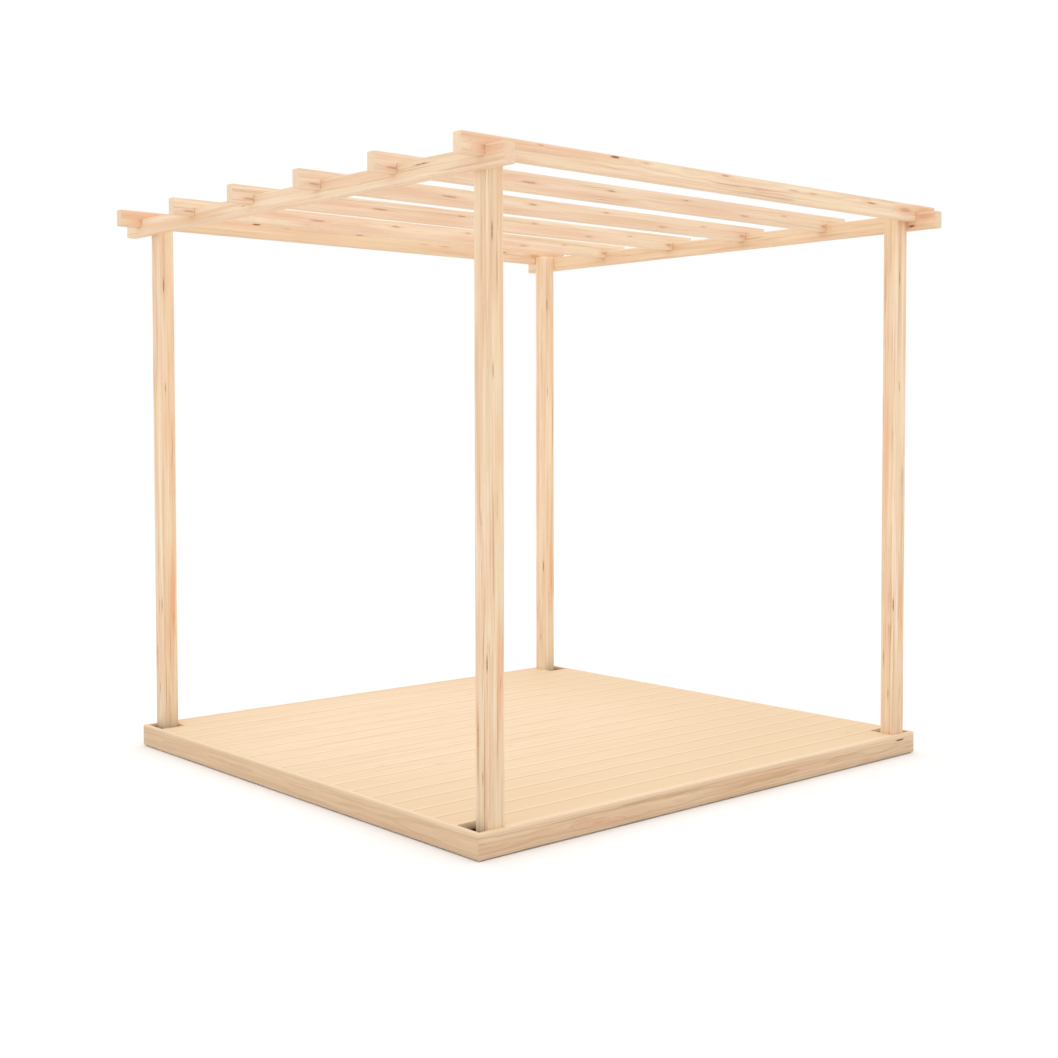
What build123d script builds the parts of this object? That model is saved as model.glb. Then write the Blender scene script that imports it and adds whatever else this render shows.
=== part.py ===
from build123d import *
import os

# Wooden pergola on a square deck, millimetres.
# Origin at ground level under the middle of the deck.
# X runs along the rafters and deck boards, Y along the beams, Z up.
# Front is -Y, left is -X.

# Deck
deck_length_x = 2400
deck_length_y = 2400
deck_height = 94
fascia_thickness = 16
fascia_ground_gap = 4
board_count = 19
board_thickness = 28
board_gap = 1
board_post_gap = 3
joist_count = 5
joist_width = 45

# Posts
post_side = 70
post_inset_x = 55

# Roof
roof_height = 2360
beam_thickness = 45
beam_depth = 70
beam_overhang = 99
rafter_count = 6
rafter_thickness = 45
rafter_depth = 70
rafter_overhang = 93
rafter_notch_depth = 35

# Eased arrises of the planed timber
arris = 2

# Halving turns a full size into the distance from the middle.
half_share = 0.5

# Positions worked out from the sizes above
deck_edge_x = deck_length_x * half_share
deck_edge_y = deck_length_y * half_share
deck_inner_x = deck_edge_x - fascia_thickness
deck_inner_y = deck_edge_y - fascia_thickness
post_outer_x = deck_edge_x - post_inset_x
post_inner_x = post_outer_x - post_side
post_outer_y = deck_inner_y
post_inner_y = post_outer_y - post_side
beam_outer_x = post_outer_x + beam_thickness
rafter_bottom = roof_height - rafter_depth
beam_top = rafter_bottom + rafter_notch_depth
beam_bottom = beam_top - beam_depth
rafter_outer_y = post_outer_y + rafter_thickness
rafter_reach = beam_outer_x + rafter_overhang
beam_reach = rafter_outer_y + beam_overhang
rafter_pitch = (2 * rafter_outer_y - rafter_thickness) / (rafter_count - 1)
board_pitch = 2 * deck_inner_y / board_count
joist_height = deck_height - board_thickness
joist_pitch = (2 * post_inner_x - joist_width) / (joist_count - 1)

nodes = {}


def block(x0, x1, y0, y1, z0, z1):
    """A squared timber between two corners."""
    low_corner = (Align.MIN, Align.MIN, Align.MIN)
    return Pos(x0, y0, z0) * Box(x1 - x0, y1 - y0, z1 - z0, align=low_corner)


def post(side_x, side_y):
    """A post in one corner, level with the beam tops; the sides are -1 or 1."""
    xs = sorted((side_x * post_inner_x, side_x * post_outer_x))
    ys = sorted((side_y * post_inner_y, side_y * post_outer_y))
    bar = block(xs[0], xs[1], ys[0], ys[1], 0, beam_top)
    return chamfer(bar.edges().filter_by(Axis.Z), arris)


def beam(side_x):
    """A side beam lying against the outer faces of two posts."""
    xs = sorted((side_x * post_outer_x, side_x * beam_outer_x))
    bar = block(xs[0], xs[1], -beam_reach, beam_reach, beam_bottom, beam_top)
    return chamfer(bar.edges(), arris)


def rafter(y_front):
    """A rafter notched from below over both beams."""
    y_back = y_front + rafter_thickness
    bar = block(-rafter_reach, rafter_reach, y_front, y_back, rafter_bottom, roof_height)
    bar = chamfer(bar.edges(), arris)
    for side in (-1, 1):
        xs = sorted((side * post_outer_x, side * beam_outer_x))
        bar -= block(xs[0], xs[1], y_front, y_back, rafter_bottom, beam_top)
    return bar


def fascia(outer_a, outer_b, inner_a, inner_b):
    """An edge board, mitred at both ends, from its outer and inner plan edges."""
    outline = Polyline(outer_a, outer_b, inner_b, inner_a, close=True)
    height = deck_height - fascia_ground_gap
    plank = Pos(0, 0, fascia_ground_gap) * extrude(make_face(outline), height)
    outer_top_edge = plank.edges().group_by(Axis.Z)[-1].sort_by(SortBy.LENGTH)[-1]
    return chamfer(outer_top_edge, arris)


def deck_board(index):
    """A deck board; the first and the last fit between the posts."""
    y0 = -deck_inner_y + index * board_pitch + board_gap * half_share
    y1 = y0 + board_pitch - board_gap
    reach = deck_inner_x
    if index in (0, board_count - 1):
        reach = post_inner_x - board_post_gap
    plank = block(-reach, reach, y0, y1, joist_height, deck_height)
    top_edges = plank.edges().filter_by(Axis.X).group_by(Axis.Z)[-1]
    return chamfer(top_edges, arris)


def joist(index):
    """A bearer under the boards, from the front edge board to the back one."""
    x0 = -post_inner_x + index * joist_pitch
    return block(x0, x0 + joist_width, -deck_inner_y, deck_inner_y, 0, joist_height)


# Posts and beams
for name_x, side_x in (("left", -1), ("right", 1)):
    for name_y, side_y in (("front", -1), ("back", 1)):
        nodes["post_" + name_y + "_" + name_x] = post(side_x, side_y)
    nodes["beam_" + name_x] = beam(side_x)

# Rafters, counted from the front
for index in range(rafter_count):
    nodes["rafter_" + str(index + 1)] = rafter(-rafter_outer_y + index * rafter_pitch)

# Edge boards of the deck
for name, side in (("front", -1), ("back", 1)):
    nodes["fascia_" + name] = fascia(
        (-deck_edge_x, side * deck_edge_y),
        (deck_edge_x, side * deck_edge_y),
        (-deck_inner_x, side * deck_inner_y),
        (deck_inner_x, side * deck_inner_y),
    )
for name, side in (("left", -1), ("right", 1)):
    nodes["fascia_" + name] = fascia(
        (side * deck_edge_x, -deck_edge_y),
        (side * deck_edge_x, deck_edge_y),
        (side * deck_inner_x, -deck_inner_y),
        (side * deck_inner_x, deck_inner_y),
    )

# Deck boards, counted from the front, and the bearers below them
for index in range(board_count):
    nodes["deck_board_" + str(index + 1).zfill(2)] = deck_board(index)
for index in range(joist_count):
    nodes["joist_" + str(index + 1)] = joist(index)

# One file for each piece
os.makedirs("parts", exist_ok=True)
for name, shape in nodes.items():
    export_step(shape, os.path.join("parts", name + ".step"))
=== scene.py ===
# Wooden pergola on a square deck: the looks.
# Metres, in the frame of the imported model: front is -Y, left is -X, Z up.
import math
import random

import bmesh
import bpy
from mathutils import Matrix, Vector, noise


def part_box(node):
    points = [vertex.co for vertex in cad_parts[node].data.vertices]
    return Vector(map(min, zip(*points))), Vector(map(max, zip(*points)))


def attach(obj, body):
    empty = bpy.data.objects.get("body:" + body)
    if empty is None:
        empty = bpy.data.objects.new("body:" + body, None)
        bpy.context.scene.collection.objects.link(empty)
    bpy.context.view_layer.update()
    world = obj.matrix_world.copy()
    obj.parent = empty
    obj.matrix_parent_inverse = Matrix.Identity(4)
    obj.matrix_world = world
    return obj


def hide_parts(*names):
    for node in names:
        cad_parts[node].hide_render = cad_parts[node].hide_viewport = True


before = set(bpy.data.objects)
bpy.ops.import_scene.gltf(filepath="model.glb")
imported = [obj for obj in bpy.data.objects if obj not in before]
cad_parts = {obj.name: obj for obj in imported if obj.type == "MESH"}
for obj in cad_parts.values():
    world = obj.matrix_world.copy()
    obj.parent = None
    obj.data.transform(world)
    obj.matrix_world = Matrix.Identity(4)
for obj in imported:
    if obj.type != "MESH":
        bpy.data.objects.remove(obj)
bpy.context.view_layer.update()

# Places of the deck, from the frame
deck_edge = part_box("fascia_right")[1].x
deck_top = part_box("fascia_right")[1].z

# Axes and directions
X, Y, Z = range(3)
QUARTER_TURN = math.pi / 2
ACROSS = (0.0, 1.0, 1.0)
LEVEL = (1.0, 1.0, 0.0)

# Timber meshes
ARRIS_RADIUS = 0.003
BOARD_ARRIS_RADIUS = 0.0022
MITRE_RADIUS = 0.0003
ARRIS_STEPS = 3
STATION_STEP = 0.03
COLUMN_STEP = 0.018
LEAST_STEPS = 2
END_ARRIS_SHARES = ((0.0, 0.8), (0.25, 0.3), (1.0, 0.0))
END_ROUND_SHARE = 0.9
SMOOTH_ANGLE = math.radians(50)
BOARD_CUP = 0.0006
BOARD_STEP = 0.0004
NOTCH_PLAY = 0.0006
NOTCH_OVERRUN = 0.01

# Planing waves and worn arrises: how deep, and how many to a metre
SURFACE_WAVE = 0.00025
WAVE_RATE_ALONG = 5
WAVE_RATE_ACROSS = 30
ARRIS_WEAR = 0.0007
WEAR_RATE_ALONG = 11
WEAR_RATES_ACROSS = (9, 13)

# Grain, its scales all along the timber first and then across it
RING_WIDTH = 0.0046
RING_JITTER = 0.0018
JITTER_SCALE = (5.0, 80.0, 80.0)
GRAIN_BEND = 0.018
BEND_SCALE = (0.9, 2.6, 2.6)
GRAIN_WAVE = 0.005
WAVE_SCALE = (8.0, 26.0, 26.0)
TAPER_SHARE = 0.0035
HEART_SCALE = (2.4, 24.0, 24.0)
STREAK_SCALE = (1.4, 72.0, 72.0)
STREAK_DETAIL = 3.0
FIBRE_SCALE = (10.0, 700.0, 700.0)
FIBRE_DETAIL = 2.0
LINE_SCALE = (1.8, 180.0, 180.0)
LINE_DETAIL = 2.0
LINE_GROUP_SCALE = (2.0, 30.0, 30.0)
NOISE_MIDDLE = (0.5, 0.5, 0.5)
SEED_STRIDE = (3.7, 1.3, 2.1)

# Where in a year's ring the late wood darkens and ends, and how dark the years are
LATE_RISE_SHARES = (0.2, 0.82)
LATE_FALL_SHARES = (1.0, 0.88)
LATE_YEAR_SHARES = (0.35, 1.0)

# Noise levels between which each mark fades in
HEART_LEVELS = (0.40, 0.66)
STREAK_LEVELS = (0.50, 0.72)
PALE_LEVELS = (0.47, 0.28)
FIBRE_LEVELS = (0.56, 0.80)
FIBRE_SHARE = 0.35
LINE_LEVELS = (0.55, 0.66)
LINE_GROUP_LEVELS = (0.42, 0.62)

# Knots: edges of the core and the halo in knot sizes, and how they wander and bend the grain
KNOT_CORE_SHARES = (1.1, 0.45)
KNOT_HALO_SHARES = (2.6, 0.7)
KNOT_SWIRL_SHARE = 1.3
KNOT_WANDER = (0.012, 0.004, 0.004)
KNOT_WANDER_SCALE = (60.0, 260.0, 260.0)

# Arrises paler in patches
ARRIS_PALE_WIDTH = 0.006
ARRIS_PALE_SCALE = (18.0, 60.0, 60.0)
ARRIS_PALE_LEVELS = (0.3, 0.6)
ARRIS_PALE_SHARES = (0.4, 1.0)

# Cut ends, and the painted light on the edge boards' crowns, by how far the face is turned
END_TURN_SHARES = (0.55, 0.85)
END_RING_SHARE = 0.4
CROWN_TURN_SHARES = (0.5, 0.9)
CROWN_DEPTH = 0.02
CROWN_LIGHT_SHARE = 0.75

# Deck: the centre of its painted pool of light, with painted shade away from it, and the painted shadow
# and highlight along the joints between its boards
LIGHT_POOL_CENTRE = (-0.25, 0.25, 0.0)
LIGHT_POOL_REACH = (0.55, 1.45)
LIGHT_POOL_SHADE_SHARE = 0.9
JOINT_SHADOW_WIDTH = 0.021
JOINT_SHADOW_SHARE = 0.46
JOINT_HIGHLIGHT_WIDTH = 0.023
JOINT_HIGHLIGHT_SHARE = 0.44

# Painted shade on the timber under the deck: where it starts and ends, inwards and downwards
UNDER_INSET = (0.006, 0.012)
UNDER_DEPTH = (0.006, 0.046)
UNDER_DECK_SHADE_SHARE = 0.92

# Surface of the pine
FIBRE_ROUGH_LEVELS = (0.2, 0.8)
ROUGHNESS = (0.52, 0.68)
END_ROUGHNESS = 0.15
RELIEF_LATE_SHARE = 0.5
RELIEF_KNOT_SHARE = 0.8
BUMP_STRENGTH = 0.35
BUMP_DISTANCE = 0.0006
SPECULAR_LEVEL = 0.3

# Distance of the pith from the middle of a timber
POST_PITH = 0.05
ROOF_PITH = 0.06
FASCIA_PITH = 0.07
JOIST_PITH = 0.05
BOARD_PITH_DEPTH = 0.08
BOARD_PITH_SWAY = 0.03

# Camera, fitted to the photograph
CAMERA_PLACE = (-4.1926, -5.0104, 1.4407)
CAMERA_AZIMUTH = math.radians(-42.550)
CAMERA_ELEVATION = math.radians(2.174)
CAMERA_LENS = 50.88
CAMERA_SENSOR = 36.0
CAMERA_SHIFT = (-0.06, -0.0483)

# Light and floor
WHITE = (1.0, 1.0, 1.0, 1.0)
DOME_STRENGTH = 1.05
BACKDROP_STRENGTH = 1.0
LAMP_PLACE = (0.1, 0.3, 4.6)
LAMP_SIZE = 3.0
LAMP_POWER = 16.0
FLOOR_RADIUS = 16.0
FLOOR_SEGMENTS = 96
FLOOR_FADE = (5.0, 12.0)
FLOOR_SHADE = (0.85, 0.85, 0.85, 1.0)

# Random draws
SEED = 20
SEED_RANGE = (0, 40)
rng = random.Random(SEED)

# The sRGB curve
SRGB_FULL = 255.0
SRGB_KNEE = 0.04045
SRGB_SLOPE = 12.92
SRGB_OFFSET = 0.055
SRGB_POWER = 2.4


def linear(red, green, blue):
    """An sRGB colour, 0 to 255, as linear RGBA."""
    out = []
    for value in (red, green, blue):
        part = value / SRGB_FULL
        if part <= SRGB_KNEE:
            out.append(part / SRGB_SLOPE)
        else:
            out.append(((part + SRGB_OFFSET) / (1 + SRGB_OFFSET)) ** SRGB_POWER)
    return (*out, 1.0)


# Colours of the timbers and how strongly each mark shows
KNOT_TONE = linear(132, 84, 50)
# The colour of the painted shade under the deck
UNDER_DECK_SHADE_TONE = linear(74, 47, 26)
# The colour of the painted shade towards the ground
GROUND_SHADE_TONE = linear(168, 148, 130)

PLAIN = dict(
    early=linear(246, 221, 187), late=linear(222, 185, 144), heart=linear(244, 203, 169),
    pale=linear(253, 235, 211), line=linear(184, 138, 96), blush=linear(236, 176, 134),
    end=linear(250, 227, 194), late_share=0.42, streak_share=0.62, pale_share=0.75,
    heart_share=0.7, line_share=0.62, blush_share=0.75, arris_pale_share=0.35, end_share=0.6,
)
# Posts: plain pine, with painted shade towards the ground between the heights in foot_reach
POST = dict(PLAIN, foot_reach=(0.55, 0.12), foot_share=0.10)
JOIST = dict(PLAIN, early=linear(236, 204, 168), late=linear(210, 168, 126))
ROOF = dict(
    PLAIN, early=linear(248, 221, 188), heart=linear(244, 204, 174), blush=linear(238, 186, 150),
    streak_share=0.5, pale_share=0.5, heart_share=0.55, line_share=0.4,
)
NEAR_BEAM = dict(ROOF, end=linear(246, 211, 183))
# Inner rafters: the roof's pine painted less orange, against the warm light that the deck bounces up
# onto them
INNER_RAFTER = dict(
    ROOF, early=linear(247, 222, 192), heart=linear(243, 205, 179), late=linear(224, 190, 153),
    blush=linear(236, 188, 157), end=linear(243, 217, 184),
)
# The far beam and the back rafter: the roof's pine painted darker, as painted shade
FAR_ROOF = dict(
    ROOF, early=linear(242, 213, 178), heart=linear(238, 197, 165), late=linear(218, 180, 140),
    pale=linear(247, 227, 200), end=linear(243, 217, 184),
)
# Edge boards: the pine's grain and knots in colours set darker as painted shade, with painted light on
# the crown and painted shade towards the ground
FASCIA = dict(
    PLAIN, early=linear(228, 198, 164), late=linear(198, 160, 120), heart=linear(223, 184, 149),
    pale=linear(246, 220, 188), line=linear(158, 118, 82), blush=linear(224, 171, 142),
    late_share=0.5, streak_share=0.55, pale_share=0.4, line_share=0.4, lit_crown_share=0.85,
    foot_reach=(0.04, 0.004), foot_share=0.17,
)
# The side edge boards: the same painted shade, with fainter grain
SIDE_FASCIA = dict(
    FASCIA, early=linear(226, 195, 160), late_share=0.3, streak_share=0.3, pale_share=0.3,
    heart_share=0.4, line_share=0.2,
)
# On the deck, shade is painted shade away from its pool of light, and glint a painted highlight along
# each board's front edge
DECK = dict(
    PLAIN, early=linear(246, 219, 184), late=linear(232, 198, 160), heart=linear(245, 212, 180),
    pale=linear(250, 225, 193), line=linear(198, 154, 112), shade=linear(236, 206, 167),
    glint=linear(253, 234, 208), late_share=0.42, streak_share=0.45, pale_share=0.45,
    heart_share=0.4, line_share=0.22, arris_pale_share=0.3,
)

# Marks seen on the timbers end in the same four values: half length, half width, core and halo.
# On a post's front face a mark is measured from the left edge, on its left face from the front edge,
# and then up from the ground.
POST_FRONT_MARKS = (
    (0.021, 2.050, 0.042, 0.0030, 0.90, 0.4), (0.024, 1.597, 0.032, 0.0024, 0.55, 0.3),
    (0.048, 0.630, 0.110, 0.0075, 0.0, 0.9), (0.052, 0.570, 0.034, 0.0022, 0.32, 0.4),
    (0.040, 1.150, 0.060, 0.0020, 0.25, 0.2), (0.058, 1.840, 0.150, 0.0060, 0.0, 0.5),
)
POST_LEFT_MARKS = (
    (0.006, 0.640, 0.038, 0.0032, 1.0, 0.4), (0.054, 0.410, 0.050, 0.0024, 0.6, 0.5),
    (0.030, 0.262, 0.030, 0.0026, 0.55, 0.3), (0.022, 1.760, 0.120, 0.0020, 0.25, 0.3),
    (0.046, 1.300, 0.160, 0.0070, 0.0, 0.5),
)
POST_MARK_SHIFT = 0.015

# A faint stain round the upper knot on the front of every post, given the same way
POST_STAIN = (0.021, 2.080, 0.300, 0.0120, 0.11, 0.0)

# On a rafter's front face a mark is measured along X, then up from the underside.
RAFTER_MARKS = (
    (-1.212, 0.018, 0.030, 0.0050, 0.35, 0.6), (-0.598, 0.034, 0.046, 0.0045, 0.40, 0.8),
    (-0.174, 0.045, 0.026, 0.0042, 0.48, 0.7), (0.243, 0.050, 0.020, 0.0036, 0.35, 0.7),
    (0.590, 0.019, 0.030, 0.0045, 0.28, 0.8), (0.850, 0.043, 0.018, 0.0030, 0.30, 0.6),
    (1.125, 0.022, 0.018, 0.0060, 0.35, 0.9), (-0.850, 0.040, 0.150, 0.0080, 0.0, 0.7),
    (0.350, 0.022, 0.180, 0.0080, 0.0, 0.6), (-0.350, 0.016, 0.200, 0.0070, 0.0, 0.5),
)
END_RAFTER_MARKS = (
    (-1.172, 0.027, 0.040, 0.0110, 0.20, 1.0), (-0.959, 0.061, 0.018, 0.0032, 0.35, 0.5),
    (-0.619, 0.062, 0.026, 0.0052, 0.90, 0.8), (-0.048, 0.060, 0.028, 0.0036, 0.50, 0.6),
    (-0.460, 0.058, 0.020, 0.0034, 0.25, 0.5), (0.335, 0.046, 0.030, 0.0030, 0.25, 0.5),
    (0.460, 0.045, 0.034, 0.0032, 0.30, 0.6), (0.840, 0.046, 0.036, 0.0036, 0.60, 0.7),
    (1.072, 0.040, 0.045, 0.0110, 0.30, 1.0), (1.205, 0.036, 0.060, 0.0036, 0.55, 1.0),
    (1.225, 0.052, 0.065, 0.0120, 0.12, 1.0), (-1.150, 0.055, 0.120, 0.0060, 0.0, 0.9),
    (-0.750, 0.057, 0.120, 0.0050, 0.0, 0.8),
)
RAFTER_MARK_SHIFT = 0.006

# On a beam's left face a mark is measured along Y, then up from the underside.
BEAM_MARKS = {
    "left": (
        (-0.888, 0.051, 0.050, 0.0026, 0.7, 0.5), (0.300, 0.035, 0.020, 0.0030, 0.35, 0.4),
        (-0.400, 0.045, 0.200, 0.0080, 0.0, 0.4), (0.800, 0.030, 0.200, 0.0080, 0.0, 0.5),
        (-1.278, 0.052, 0.035, 0.0080, 0.0, 0.9),
    ),
    "right": (
        (-1.207, 0.016, 0.020, 0.0060, 0.85, 0.8), (0.228, 0.045, 0.030, 0.0070, 0.2, 0.8),
        (-0.255, 0.057, 0.020, 0.0050, 0.3, 0.6), (1.253, 0.060, 0.020, 0.0060, 0.35, 0.9),
        (-1.278, 0.052, 0.045, 0.0120, 0.18, 1.0),
    ),
}

# On the front edge board a mark is measured along X, then up from the ground.
FASCIA_MARKS = (
    (-0.740, 0.046, 0.028, 0.0080, 0.0, 0.8), (-0.670, 0.038, 0.036, 0.0070, 0.1, 0.8),
    (-0.590, 0.032, 0.030, 0.0060, 0.0, 0.5), (1.100, 0.070, 0.034, 0.0050, 1.0, 0.15),
    (0.870, 0.020, 0.030, 0.0050, 0.1, 0.4),
)

# Ranges of the knots on faces turned away
POST_FAR_KNOTS = dict(
    count=3, core=(0.4, 0.85), length=(0.02, 0.05), width=(0.0022, 0.004), halo_share=0.6,
)
ROOF_FAR_KNOTS = dict(
    count=4, core=(0.35, 0.7), length=(0.015, 0.035), width=(0.0025, 0.0045), halo_share=1.0,
)

# Knots on any face of the other timbers: how many, how strong and of what shape
EDGE_KNOTS = dict(count=2, strength=0.3)
BOARD_KNOTS = dict(count=2, strength=0.25)
JOIST_KNOTS = dict(count=5, strength=0.8)
LOOSE_WIDTH = (0.003, 0.006)
LOOSE_CORE_SHARES = (0.5, 0.9)
LOOSE_LENGTH_SHARES = (2.0, 6.0)


def crosswise(axis):
    """The two axes across a timber that is long on one."""
    return [index for index in (X, Y, Z) if index != axis]


def nodes_named(start):
    """The frame's nodes whose names start alike, in order."""
    return sorted(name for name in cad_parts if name.startswith(start))


# Meshes

def corner_points(centre, radius, turn):
    """The points of one rounded corner."""
    points = []
    for step in range(ARRIS_STEPS + 1):
        angle = turn + QUARTER_TURN * step / ARRIS_STEPS
        points.append((centre[0] + radius * math.cos(angle), centre[1] + radius * math.sin(angle)))
    return points


def outline(half_a, half_b, radius, columns):
    """A rounded rectangle as (a, b, on_corner), the same count for the same columns."""
    corners = []
    for index, (side_a, side_b) in enumerate(((1, 1), (-1, 1), (-1, -1), (1, -1))):
        centre = (side_a * (half_a - radius), side_b * (half_b - radius))
        corners.append(corner_points(centre, radius, QUARTER_TURN * index))
    points = []
    for index, arc in enumerate(corners):
        points.extend((a, b, True) for a, b in arc)
        start = arc[-1]
        end = corners[(index + 1) % len(corners)][0]
        count = columns[index % len(columns)]
        for step in range(1, count):
            share = step / count
            a = start[0] + (end[0] - start[0]) * share
            b = start[1] + (end[1] - start[1]) * share
            points.append((a, b, False))
    return points


def stations(length, radius):
    """Places along a timber as (distance, inset), close together at its rounded ends."""
    ends = [(radius * along, radius * inset) for along, inset in END_ARRIS_SHARES]
    run = length - 2 * radius
    count = max(LEAST_STEPS, round(run / STATION_STEP))
    middle = [(radius + run * step / count, 0.0) for step in range(1, count)]
    return ends + middle + [(length - along, inset) for along, inset in reversed(ends)]


def surface_offset(run, a, b, on_corner, seed):
    """How far a point stands off its true place, from planing waves and worn arrises."""
    spot = Vector((run * WAVE_RATE_ALONG + seed, a * WAVE_RATE_ACROSS, b * WAVE_RATE_ACROSS))
    offset = SURFACE_WAVE * noise.noise(spot)
    if on_corner:
        rate_a, rate_b = WEAR_RATES_ACROSS
        spot = Vector((run * WEAR_RATE_ALONG, seed, a * rate_a + b * rate_b))
        offset -= ARRIS_WEAR * (1 + noise.noise(spot)) / 2
    return offset


def moved(a, b, half_a, offset, cup):
    """A point of the outline moved by its offset: outwards, or up and down on a cupped board."""
    if cup:
        rise = cup * (1 - (a / half_a) ** 2)
        return a, b + offset + (rise if b > 0 else -rise)
    reach = math.hypot(a, b)
    return a + offset * a / reach, b + offset * b / reach


def new_piece(name, mesh):
    """An object in the scene from a finished mesh."""
    data = bpy.data.meshes.new(name)
    mesh.to_mesh(data)
    mesh.free()
    piece = bpy.data.objects.new(name, data)
    bpy.context.scene.collection.objects.link(piece)
    return piece


def closed_skin(mesh, loops):
    """Faces between loops of points, and one over each end."""
    for first, second in zip(loops, loops[1:]):
        for index in range(len(first)):
            after = (index + 1) % len(first)
            mesh.faces.new((first[index], first[after], second[after], second[index]))
    mesh.faces.new(list(reversed(loops[0])))
    mesh.faces.new(loops[-1])
    bmesh.ops.recalc_face_normals(mesh, faces=mesh.faces)


def timber(name, node, axis, radius, seed, cup=0.0, lift=0.0, mitre_side=0):
    """A planed timber in the box of a node, long on the axis, with worn rounded arrises."""
    low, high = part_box(node)
    across = crosswise(axis)
    half = [(high[index] - low[index]) / 2 for index in across]
    middle = [(high[index] + low[index]) / 2 for index in across]
    length = high[axis] - low[axis]
    columns = [max(LEAST_STEPS, round(2 * size / COLUMN_STEP)) for size in half]
    mesh = bmesh.new()
    loops = []
    for place, inset in stations(length, MITRE_RADIUS if mitre_side else radius):
        corner_radius = radius - inset * END_ROUND_SHARE
        loop = []
        for a, b, on_corner in outline(half[0] - inset, half[1] - inset, corner_radius, columns):
            trim = half[0] - mitre_side * a if mitre_side else 0.0
            run = low[axis] + trim + place / length * (length - 2 * trim)
            offset = surface_offset(run, a, b, on_corner, seed)
            place_a, place_b = moved(a, b, half[0], offset, cup)
            point = [0.0, 0.0, 0.0]
            point[axis] = run
            point[across[0]] = middle[0] + place_a
            point[across[1]] = middle[1] + place_b + lift
            loop.append(mesh.verts.new(point))
        loops.append(loop)
    closed_skin(mesh, loops)
    return new_piece(name, mesh)


def box_piece(name, low, high):
    """A plain box between two corners, to cut with."""
    mesh = bmesh.new()
    bmesh.ops.create_cube(mesh, size=1.0)
    for vert in mesh.verts:
        for index in (X, Y, Z):
            vert.co[index] = low[index] if vert.co[index] < 0 else high[index]
    return new_piece(name, mesh)


def cut_box(piece, low, high):
    """Cuts a box, given by two corners, out of a piece."""
    cutter = box_piece("cutter", low, high)
    step = piece.modifiers.new("cut", "BOOLEAN")
    step.operation = "DIFFERENCE"
    step.solver = "EXACT"
    step.object = cutter
    graph = bpy.context.evaluated_depsgraph_get()
    done = bpy.data.meshes.new_from_object(piece.evaluated_get(graph))
    piece.modifiers.clear()
    spent = (piece.data, cutter.data)
    piece.data = done
    bpy.data.objects.remove(cutter)
    for data in spent:
        bpy.data.meshes.remove(data)


# Node wiring

class Net:
    """Short calls for wiring a node tree."""

    def __init__(self, tree):
        self.tree = tree

    def put(self, socket, value):
        if isinstance(value, bpy.types.NodeSocket):
            self.tree.links.new(value, socket)
        else:
            socket.default_value = value

    def add(self, kind, values=(), **settings):
        node = self.tree.nodes.new(kind)
        for key, value in settings.items():
            setattr(node, key, value)
        for key, value in values:
            self.put(node.inputs[key], value)
        return node

    def math(self, operation, a, b=0.0):
        return self.add("ShaderNodeMath", ((0, a), (1, b)), operation=operation).outputs[0]

    def vector(self, operation, a, b=(0.0, 0.0, 0.0)):
        node = self.add("ShaderNodeVectorMath", ((0, a), (1, b)), operation=operation)
        return node.outputs["Value" if operation == "LENGTH" else "Vector"]

    def parts(self, vector):
        return self.add("ShaderNodeSeparateXYZ", ((0, vector),)).outputs

    # A mix node has separate sockets for numbers, 2 and 3, and for colours, 6 and 7.
    def mix(self, factor, a, b):
        return self.add("ShaderNodeMix", ((0, factor), (6, a), (7, b)), data_type="RGBA").outputs[2]

    def mix_numbers(self, factor, a, b):
        return self.add("ShaderNodeMix", ((0, factor), (2, a), (3, b)), data_type="FLOAT").outputs[0]

    def ease(self, value, start, end, low=0.0, high=1.0):
        values = ((0, value), (1, start), (2, end), (3, low), (4, high))
        return self.add("ShaderNodeMapRange", values, interpolation_type="SMOOTHSTEP").outputs[0]

    def noise(self, place, scale, detail=1.0):
        scaled = self.vector("MULTIPLY", place, scale)
        values = (("Vector", scaled), ("Scale", 1.0), ("Detail", detail))
        return self.add("ShaderNodeTexNoise", values).outputs

    def wander(self, place, scale, reach):
        shift = self.vector("SUBTRACT", self.noise(place, scale)["Color"], NOISE_MIDDLE)
        return self.vector("MULTIPLY", shift, reach)

    def frame_place(self):
        return self.add("ShaderNodeTexCoord").outputs["Object"]

    def seen_directly(self):
        rays = self.add("ShaderNodeLightPath").outputs
        seen = self.math("MAXIMUM", rays["Is Camera Ray"], rays["Is Glossy Ray"])
        return self.math("MAXIMUM", seen, rays["Is Transmission Ray"])


def cleared(data):
    """The net of a material or world with no nodes yet."""
    data.use_nodes = True
    data.node_tree.nodes.clear()
    return Net(data.node_tree)


# Grain

def ring_marks(net, given, bent, seeded):
    """The late wood of the growth rings round the pith, darker in some years."""
    spoke = net.vector("MULTIPLY", net.vector("SUBTRACT", bent, given["Pith"]), ACROSS)
    jitter = net.noise(seeded, JITTER_SCALE)["Fac"]
    path = net.math("ADD", net.vector("LENGTH", spoke), net.math("MULTIPLY", jitter, RING_JITTER))
    along = net.parts(given["Place"])["X"]
    path = net.math("ADD", path, net.math("MULTIPLY", along, TAPER_SHARE))
    path = net.math("ADD", path, given["Swirl"])
    phase = net.math("DIVIDE", path, RING_WIDTH)
    part = net.math("FRACT", phase)
    late = net.math("MULTIPLY", net.ease(part, *LATE_RISE_SHARES), net.ease(part, *LATE_FALL_SHARES))
    year = net.add("ShaderNodeTexWhiteNoise", (("W", net.math("FLOOR", phase)),), noise_dimensions="1D")
    return net.math("MULTIPLY", late, net.ease(year.outputs["Value"], 0.0, 1.0, *LATE_YEAR_SHARES))


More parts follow.
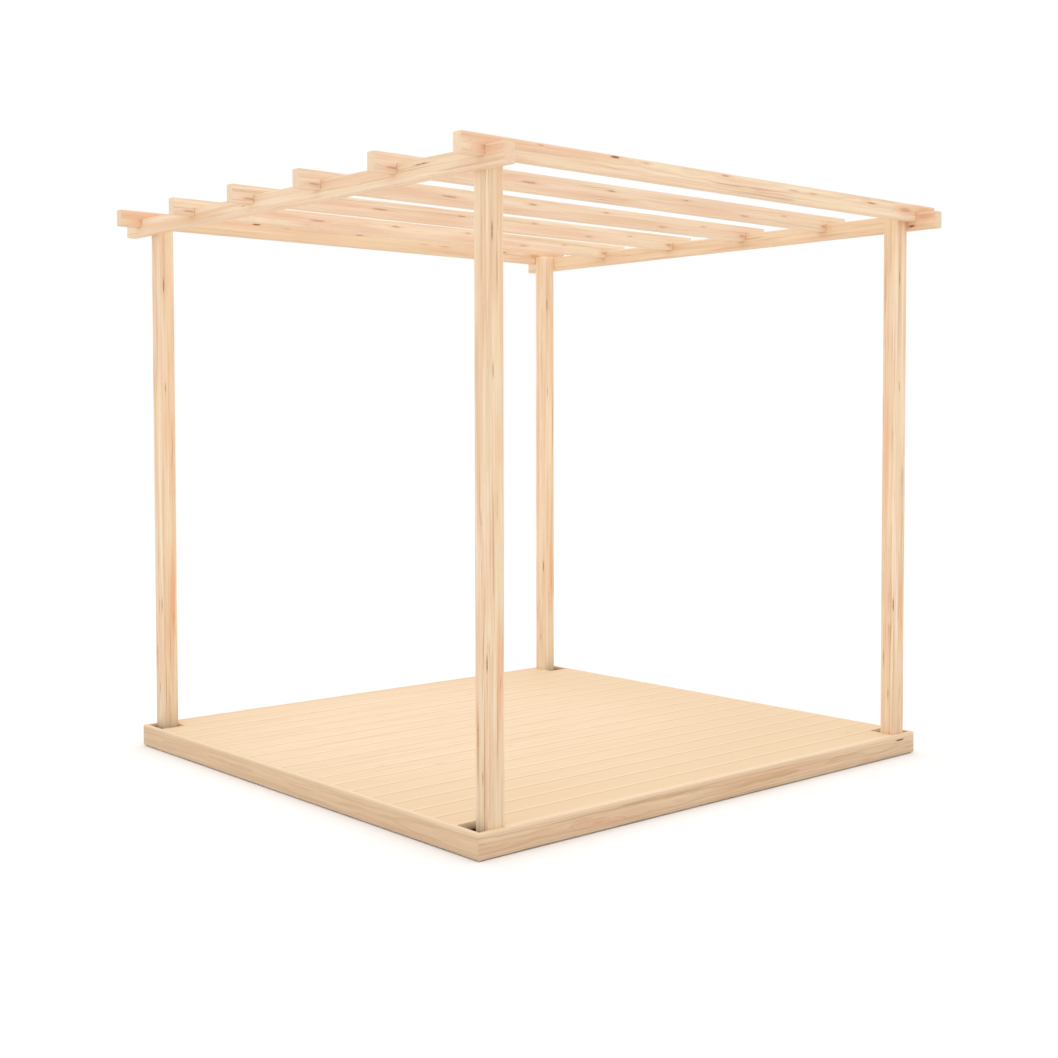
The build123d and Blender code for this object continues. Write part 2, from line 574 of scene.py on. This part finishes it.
def grain_group():
    """Growth rings, streaks and fibres round a pith line, as a node group."""
    tree = bpy.data.node_groups.new("pine_grain", "ShaderNodeTree")
    for name in ("Place", "Seed", "Pith"):
        tree.interface.new_socket(name, in_out="INPUT", socket_type="NodeSocketVector")
    tree.interface.new_socket("Swirl", in_out="INPUT", socket_type="NodeSocketFloat")
    net = Net(tree)
    given = net.add("NodeGroupInput").outputs
    seeded = net.vector("ADD", given["Place"], given["Seed"])
    bent = given["Place"]
    for scale, reach in ((BEND_SCALE, GRAIN_BEND), (WAVE_SCALE, GRAIN_WAVE)):
        bent = net.vector("ADD", bent, net.wander(seeded, scale, (0.0, reach, reach)))
    flow = net.vector("ADD", bent, given["Seed"])
    fine = net.noise(flow, LINE_SCALE, LINE_DETAIL)["Fac"]
    group = net.noise(flow, LINE_GROUP_SCALE)["Fac"]
    marks = {
        "Late": ring_marks(net, given, bent, seeded),
        "Streak": net.noise(flow, STREAK_SCALE, STREAK_DETAIL)["Fac"],
        "Fibre": net.noise(flow, FIBRE_SCALE, FIBRE_DETAIL)["Fac"],
        "Heart": net.noise(flow, HEART_SCALE)["Fac"],
        "Line": net.math("MULTIPLY", net.ease(fine, *LINE_LEVELS), net.ease(group, *LINE_GROUP_LEVELS)),
    }
    for name in marks:
        tree.interface.new_socket(name, in_out="OUTPUT", socket_type="NodeSocketFloat")
    out = net.add("NodeGroupOutput").inputs
    for name, value in marks.items():
        net.put(out[name], value)
    return tree


GRAIN = grain_group()


def grain_at(net, place, seed, pith, swirl):
    """The marks of the grain in one timber."""
    grain = net.add("ShaderNodeGroup", node_tree=GRAIN)
    net.put(grain.inputs["Place"], place)
    net.put(grain.inputs["Seed"], tuple(seed * stride for stride in SEED_STRIDE))
    net.put(grain.inputs["Pith"], pith)
    net.put(grain.inputs["Swirl"], swirl)
    return grain.outputs


def local_place(net, node, axis):
    """The place in the frame measured from the timber's middle, along the grain first."""
    low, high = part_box(node)
    parts = net.parts(net.vector("SUBTRACT", net.frame_place(), tuple((low + high) / 2)))
    order = [axis] + crosswise(axis)
    values = tuple((slot, parts[index]) for slot, index in enumerate(order))
    return net.add("ShaderNodeCombineXYZ", values).outputs[0]


def to_local(node, axis, point):
    """A point of the frame in the timber's own order, from its middle."""
    low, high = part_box(node)
    middle = (low + high) / 2
    return tuple(point[index] - middle[index] for index in [axis] + crosswise(axis))


def knot_masks(net, node, axis, place, knots):
    """The cores, halos and grain swirl of a list of knots."""
    core = halo = swirl = 0.0
    shaken = net.vector("ADD", place, net.wander(place, KNOT_WANDER_SCALE, KNOT_WANDER))
    for point, length, width, depth, blush in knots:
        ray = net.vector("SUBTRACT", shaken, to_local(node, axis, point))
        distance = net.vector("LENGTH", net.vector("DIVIDE", ray, (length, width, width)))
        if depth:
            core = net.math("MAXIMUM", core, net.ease(distance, *KNOT_CORE_SHARES, 0.0, depth))
        near = net.ease(distance, *KNOT_HALO_SHARES, 0.0, blush)
        halo = net.math("MAXIMUM", halo, near)
        swirl = net.math("ADD", swirl, net.math("MULTIPLY", near, width * KNOT_SWIRL_SHARE))
    return core, halo, swirl


# Colour

def face_mask(net, axis, turn_shares, both=True):
    """One where a face looks along an axis, either way or only upwards."""
    part = net.parts(net.add("ShaderNodeTexCoord").outputs["Normal"])[axis]
    if both:
        part = net.math("ABSOLUTE", part)
    return net.ease(part, *turn_shares)


def grain_colour(net, grain, tone):
    """The colour of the grain from its marks."""
    heart = net.ease(grain["Heart"], *HEART_LEVELS, 0.0, tone["heart_share"])
    colour = net.mix(heart, tone["early"], tone["heart"])
    colour = net.mix(net.math("MULTIPLY", grain["Late"], tone["late_share"]), colour, tone["late"])
    streak = net.ease(grain["Streak"], *STREAK_LEVELS, 0.0, tone["streak_share"])
    colour = net.mix(streak, colour, tone["late"])
    pale = net.ease(grain["Streak"], *PALE_LEVELS, 0.0, tone["pale_share"])
    colour = net.mix(pale, colour, tone["pale"])
    fibre = net.ease(grain["Fibre"], *FIBRE_LEVELS, 0.0, FIBRE_SHARE)
    colour = net.mix(fibre, colour, tone["late"])
    return net.mix(net.math("MULTIPLY", grain["Line"], tone["line_share"]), colour, tone["line"])


def painted_light_pool(net, colour, tone):
    """Painted light on a deck: its colour a little darker, as painted shade, away from the centre of a
    pool of light.
    """
    away = net.vector("MULTIPLY", net.vector("SUBTRACT", net.frame_place(), LIGHT_POOL_CENTRE), LEVEL)
    shade = net.ease(net.vector("LENGTH", away), *LIGHT_POOL_REACH, 0.0, LIGHT_POOL_SHADE_SHARE)
    return net.mix(shade, colour, tone["shade"])


def joint_shadow_and_highlight(net, node, place, colour, tone):
    """Painted shadow along the back edge of a deck board, where the joint lies in shade, and a painted
    highlight along its front edge.
    """
    low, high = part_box(node)
    half = (high.y - low.y) / 2
    side = net.parts(place)["Y"]
    joint_shadow = net.ease(side, half - JOINT_SHADOW_WIDTH, half, 0.0, JOINT_SHADOW_SHARE)
    colour = net.mix(joint_shadow, colour, tone["line"])
    joint_highlight = net.ease(side, JOINT_HIGHLIGHT_WIDTH - half, -half, 0.0, JOINT_HIGHLIGHT_SHARE)
    return net.mix(joint_highlight, colour, tone["glint"])


def knotted(net, core, halo, colour, tone):
    """Knots with a blush round them."""
    colour = net.mix(net.math("MULTIPLY", halo, tone["blush_share"]), colour, tone["blush"])
    return net.mix(core, colour, KNOT_TONE)


def painted_lit_crown(net, colour, tone):
    """Painted light: an edge board paler on its top, and just below it, where the light from above
    falls on it.
    """
    top = face_mask(net, Z, CROWN_TURN_SHARES, both=False)
    height = net.parts(net.frame_place())["Z"]
    brow = net.ease(height, deck_top - CROWN_DEPTH, deck_top, 0.0, CROWN_LIGHT_SHARE)
    crown = net.math("MAXIMUM", top, brow)
    return net.mix(net.math("MULTIPLY", crown, tone["lit_crown_share"]), colour, tone["pale"])


def painted_ground_shade(net, colour, tone):
    """Painted shade: timber a little darker and greyer towards the ground, between two heights."""
    height = net.parts(net.frame_place())["Z"]
    ground_shade = net.ease(height, *tone["foot_reach"], 0.0, tone["foot_share"])
    return net.mix(ground_shade, colour, GROUND_SHADE_TONE)


def pale_arris_patches(net, node, axis, place, colour, tone):
    """The four long arrises paler, here and there."""
    low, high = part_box(node)
    half = [(high[index] - low[index]) / 2 for index in crosswise(axis)]
    parts = net.parts(place)
    near_y = net.ease(net.math("ABSOLUTE", parts["Y"]), half[0] - ARRIS_PALE_WIDTH, half[0])
    near_z = net.ease(net.math("ABSOLUTE", parts["Z"]), half[1] - ARRIS_PALE_WIDTH, half[1])
    patchy = net.ease(net.noise(place, ARRIS_PALE_SCALE)["Fac"], *ARRIS_PALE_LEVELS, *ARRIS_PALE_SHARES)
    pale_patch = net.math("MULTIPLY", net.math("MULTIPLY", near_y, near_z), patchy)
    return net.mix(net.math("MULTIPLY", pale_patch, tone["arris_pale_share"]), colour, tone["pale"])


def sawn_ends(net, cut_end, grain, colour, tone):
    """The colour of the cut ends, with their rings."""
    colour = net.mix(net.math("MULTIPLY", cut_end, tone["end_share"]), colour, tone["end"])
    rings = net.math("MULTIPLY", net.math("MULTIPLY", cut_end, grain["Late"]), END_RING_SHARE)
    return net.mix(rings, colour, tone["late"])


def painted_under_deck_shade(net, colour):
    """Painted shade: timber darkened below the top of the deck, inside the edge boards."""
    parts = net.parts(net.frame_place())
    side = net.math("MAXIMUM", net.math("ABSOLUTE", parts["X"]), net.math("ABSOLUTE", parts["Y"]))
    inside = net.ease(side, *(deck_edge - inset for inset in UNDER_INSET))
    below = net.ease(parts["Z"], *(deck_top - depth for depth in UNDER_DEPTH), 0.0, UNDER_DECK_SHADE_SHARE)
    return net.mix(net.math("MULTIPLY", inside, below), colour, UNDER_DECK_SHADE_TONE)


def planed_surface(net, colour, grain, core, cut_end):
    """The shader of planed pine, with relief from its grain and knots."""
    rough = net.ease(grain["Fibre"], *FIBRE_ROUGH_LEVELS, *ROUGHNESS)
    rough = net.math("ADD", rough, net.math("MULTIPLY", cut_end, END_ROUGHNESS))
    relief = net.math("ADD", net.math("MULTIPLY", grain["Late"], RELIEF_LATE_SHARE), grain["Fibre"])
    relief = net.math("SUBTRACT", relief, net.math("MULTIPLY", core, RELIEF_KNOT_SHARE))
    values = (("Strength", BUMP_STRENGTH), ("Distance", BUMP_DISTANCE), ("Height", relief))
    bump = net.add("ShaderNodeBump", values).outputs[0]
    values = (("Base Color", colour), ("Roughness", rough), ("Normal", bump),
              ("Specular IOR Level", SPECULAR_LEVEL))
    shader = net.add("ShaderNodeBsdfPrincipled", values)
    net.add("ShaderNodeOutputMaterial", (("Surface", shader.outputs[0]),))


def pine(name, node, axis, seed, tone, pith, knots):
    """Planed pine for one timber."""
    material = bpy.data.materials.new(name)
    net = cleared(material)
    place = local_place(net, node, axis)
    core, halo, swirl = knot_masks(net, node, axis, place, knots)
    grain = grain_at(net, place, seed, pith, swirl)
    cut_end = face_mask(net, axis, END_TURN_SHARES)
    colour = grain_colour(net, grain, tone)
    # Painted light on the deck: a pool of light, and a shadow and a highlight along each joint
    if "shade" in tone:
        colour = painted_light_pool(net, colour, tone)
        colour = joint_shadow_and_highlight(net, node, place, colour, tone)
    colour = knotted(net, core, halo, colour, tone)
    # Painted light on the top of the edge boards
    if "lit_crown_share" in tone:
        colour = painted_lit_crown(net, colour, tone)
    # Painted shade towards the ground
    if "foot_share" in tone:
        colour = painted_ground_shade(net, colour, tone)
    colour = pale_arris_patches(net, node, axis, place, colour, tone)
    colour = sawn_ends(net, cut_end, grain, colour, tone)
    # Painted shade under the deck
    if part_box(node)[0].z < deck_top:
        colour = painted_under_deck_shade(net, colour)
    planed_surface(net, colour, grain, core, cut_end)
    return material


# Marks, each as (point, half length, half width, core, halo)

def random_seed():
    """A place in the noise for one timber."""
    return rng.uniform(*SEED_RANGE)


def shifted(value, most):
    """A value moved a little, so that like timbers differ."""
    return value + rng.uniform(-most, most)


def pith_off_centre(reach):
    """A pith line somewhere off the timber's middle."""
    angle = rng.uniform(0, 2 * math.pi)
    return (0.0, reach * math.cos(angle), reach * math.sin(angle))


def far_knot(point, ranges):
    """A knot at a point of a face turned away."""
    core = rng.uniform(*ranges["core"])
    length = rng.uniform(*ranges["length"])
    width = rng.uniform(*ranges["width"])
    return (point, length, width, core, core * ranges["halo_share"])


def loose_knots(node, axis, count, strength):
    """Knots on any face of a timber."""
    low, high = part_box(node)
    knots = []
    for _ in range(count):
        point = [rng.uniform(low[index], high[index]) for index in (X, Y, Z)]
        side = rng.choice(crosswise(axis))
        point[side] = rng.choice((low[side], high[side]))
        width = rng.uniform(*LOOSE_WIDTH)
        core = strength * rng.uniform(*LOOSE_CORE_SHARES)
        knots.append((point, width * rng.uniform(*LOOSE_LENGTH_SHARES), width, core, core))
    return knots


def post_marks(node):
    """The seen marks of a post, then some on the faces turned away."""
    low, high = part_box(node)
    knots = []
    for step, height, *rest in POST_FRONT_MARKS:
        knots.append(((low.x + step, low.y, shifted(height, POST_MARK_SHIFT)), *rest))
    for step, height, *rest in POST_LEFT_MARKS:
        knots.append(((low.x, low.y + step, shifted(height, POST_MARK_SHIFT)), *rest))
    step, height, *rest = POST_STAIN
    knots.append(((low.x + step, low.y, height), *rest))
    for _ in range(POST_FAR_KNOTS["count"]):
        height = rng.uniform(low.z, high.z)
        on_right = (high.x, rng.uniform(low.y, high.y), height)
        on_back = (rng.uniform(low.x, high.x), high.y, rng.uniform(low.z, high.z))
        knots.append(far_knot(on_right, POST_FAR_KNOTS))
        knots.append(far_knot(on_back, POST_FAR_KNOTS))
    return knots


def rafter_marks(node, seen):
    """The seen marks of a rafter's front face, then some on its back."""
    low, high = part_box(node)
    knots = []
    for along, height, *rest in seen:
        knots.append(((shifted(along, RAFTER_MARK_SHIFT), low.y, low.z + height), *rest))
    for _ in range(ROOF_FAR_KNOTS["count"]):
        point = (rng.uniform(low.x, high.x), high.y, rng.uniform(low.z, high.z))
        knots.append(far_knot(point, ROOF_FAR_KNOTS))
    return knots


def beam_marks(node, seen):
    """The seen marks of a beam's left face, then some on its right."""
    low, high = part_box(node)
    knots = [((low.x, along, low.z + height), *rest) for along, height, *rest in seen]
    for _ in range(ROOF_FAR_KNOTS["count"]):
        point = (high.x, rng.uniform(low.y, high.y), rng.uniform(low.z, high.z))
        knots.append(far_knot(point, ROOF_FAR_KNOTS))
    return knots


def fascia_marks(node, axis):
    """The seen marks of the front edge board, or some on any other."""
    if node != "fascia_front":
        return loose_knots(node, axis, **EDGE_KNOTS)
    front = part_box(node)[0].y
    return [((along, front, height), *rest) for along, height, *rest in FASCIA_MARKS]


# Pieces

def settle(piece, node, material):
    """Gives a piece its material, its smooth arrises and its place in the frame."""
    piece.data.materials.clear()
    piece.data.materials.append(material)
    piece.data.shade_smooth()
    piece.data.set_sharp_from_angle(angle=SMOOTH_ANGLE)
    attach(piece, "root")
    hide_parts(node)


def build_posts():
    """Four posts with the same marks, each a little shifted."""
    for side_y in ("front", "back"):
        for side_x in ("left", "right"):
            node = "post_" + side_y + "_" + side_x
            seed = random_seed()
            piece = timber("timber_" + node, node, Z, ARRIS_RADIUS, seed)
            pith = pith_off_centre(POST_PITH)
            look = pine("pine_" + node, node, Z, seed, POST, pith, post_marks(node))
            settle(piece, node, look)


def build_beams():
    """Two beams along the sides."""
    for side, tone in (("left", NEAR_BEAM), ("right", FAR_ROOF)):
        node = "beam_" + side
        seed = random_seed()
        piece = timber("timber_" + node, node, Y, ARRIS_RADIUS, seed)
        pith = pith_off_centre(ROOF_PITH)
        look = pine("pine_" + node, node, Y, seed, tone, pith, beam_marks(node, BEAM_MARKS[side]))
        settle(piece, node, look)


def cut_notches(piece, node):
    """The notches of a rafter over both beams."""
    low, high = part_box(node)
    for beam in ("beam_left", "beam_right"):
        beam_low, beam_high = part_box(beam)
        start = (beam_low.x - NOTCH_PLAY, low.y - NOTCH_OVERRUN, low.z - NOTCH_OVERRUN)
        end = (beam_high.x + NOTCH_PLAY, high.y + NOTCH_OVERRUN, beam_high.z)
        cut_box(piece, start, end)


def build_rafters():
    """Rafters from the front to the back; the first and the last share their marks."""
    rafters = nodes_named("rafter_")
    tones = {rafters[0]: ROOF, rafters[-1]: FAR_ROOF}
    for node in rafters:
        seed = random_seed()
        piece = timber("timber_" + node, node, X, ARRIS_RADIUS, seed)
        cut_notches(piece, node)
        knots = rafter_marks(node, END_RAFTER_MARKS if node in tones else RAFTER_MARKS)
        tone = tones.get(node, INNER_RAFTER)
        look = pine("pine_" + node, node, X, seed, tone, pith_off_centre(ROOF_PITH), knots)
        settle(piece, node, look)


def build_fascias():
    """Mitred edge boards, with the pith outside the deck."""
    for name, axis, side in (("front", X, -1), ("back", X, 1), ("left", Y, -1), ("right", Y, 1)):
        node = "fascia_" + name
        seed = random_seed()
        piece = timber("timber_" + node, node, axis, BOARD_ARRIS_RADIUS, seed, mitre_side=side)
        tone = FASCIA if axis == X else SIDE_FASCIA
        pith = (0.0, side * FASCIA_PITH, 0.0)
        look = pine("pine_" + node, node, axis, seed, tone, pith, fascia_marks(node, axis))
        settle(piece, node, look)


def build_deck():
    """Cupped deck boards at slightly different heights, with the pith below them."""
    for node in nodes_named("deck_board_"):
        seed = random_seed()
        lift = rng.uniform(-BOARD_STEP, 0.0)
        piece = timber("timber_" + node, node, X, BOARD_ARRIS_RADIUS, seed, cup=BOARD_CUP, lift=lift)
        pith = (0.0, rng.uniform(-BOARD_PITH_SWAY, BOARD_PITH_SWAY), -BOARD_PITH_DEPTH)
        look = pine("pine_" + node, node, X, seed, DECK, pith, loose_knots(node, X, **BOARD_KNOTS))
        settle(piece, node, look)


def finish_joists():
    """The bearers keep their own solids and get their pine."""
    for node in nodes_named("joist_"):
        seed = random_seed()
        pith = pith_off_centre(JOIST_PITH)
        look = pine("pine_" + node, node, Y, seed, JOIST, pith, loose_knots(node, Y, **JOIST_KNOTS))
        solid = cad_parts[node]
        solid.data.materials.clear()
        solid.data.materials.append(look)


# Stage

def build_floor():
    """A pale round floor that fades into the white background."""
    mesh = bmesh.new()
    bmesh.ops.create_circle(mesh, cap_ends=True, radius=FLOOR_RADIUS, segments=FLOOR_SEGMENTS)
    floor = new_piece("floor", mesh)
    material = bpy.data.materials.new("floor_white")
    net = cleared(material)
    shade = net.mix(net.seen_directly(), FLOOR_SHADE, WHITE)
    matt = net.add("ShaderNodeBsdfDiffuse", (("Color", shade),)).outputs[0]
    clear = net.add("ShaderNodeBsdfTransparent").outputs[0]
    away = net.vector("MULTIPLY", net.frame_place(), LEVEL)
    fade = net.ease(net.vector("LENGTH", away), *FLOOR_FADE)
    cover = net.add("ShaderNodeMixShader", ((0, fade), (1, matt), (2, clear)))
    net.add("ShaderNodeOutputMaterial", (("Surface", cover.outputs[0]),))
    floor.data.materials.append(material)


def build_light():
    """An even dome with a soft lamp above, white to the camera."""
    world = bpy.data.worlds.new("studio")
    net = cleared(world)
    level = net.mix_numbers(net.seen_directly(), DOME_STRENGTH, BACKDROP_STRENGTH)
    dome = net.add("ShaderNodeBackground", (("Color", WHITE), ("Strength", level)))
    net.add("ShaderNodeOutputWorld", (("Surface", dome.outputs[0]),))
    bpy.context.scene.world = world
    lamp = bpy.data.lights.new("soft_lamp", "AREA")
    lamp.energy = LAMP_POWER
    lamp.shape = "DISK"
    lamp.size = LAMP_SIZE
    holder = bpy.data.objects.new("soft_lamp", lamp)
    holder.location = LAMP_PLACE
    bpy.context.scene.collection.objects.link(holder)


def build_camera():
    """The photograph's view."""
    data = bpy.data.cameras.new("camera")
    data.lens = CAMERA_LENS
    data.sensor_width = CAMERA_SENSOR
    data.shift_x, data.shift_y = CAMERA_SHIFT
    camera = bpy.data.objects.new("camera", data)
    level = math.cos(CAMERA_ELEVATION)
    back = Vector((math.sin(CAMERA_AZIMUTH) * level, -math.cos(CAMERA_AZIMUTH) * level,
                   math.sin(CAMERA_ELEVATION)))
    camera.location = CAMERA_PLACE
    camera.rotation_mode = "QUATERNION"
    camera.rotation_quaternion = (-back).to_track_quat("-Z", "Y")
    bpy.context.scene.collection.objects.link(camera)
    bpy.context.scene.camera = camera


build_posts()
build_beams()
build_rafters()
build_fascias()
build_deck()
finish_joists()
build_floor()
build_light()
build_camera()
bpy.context.scene.view_settings.view_transform = "Standard"
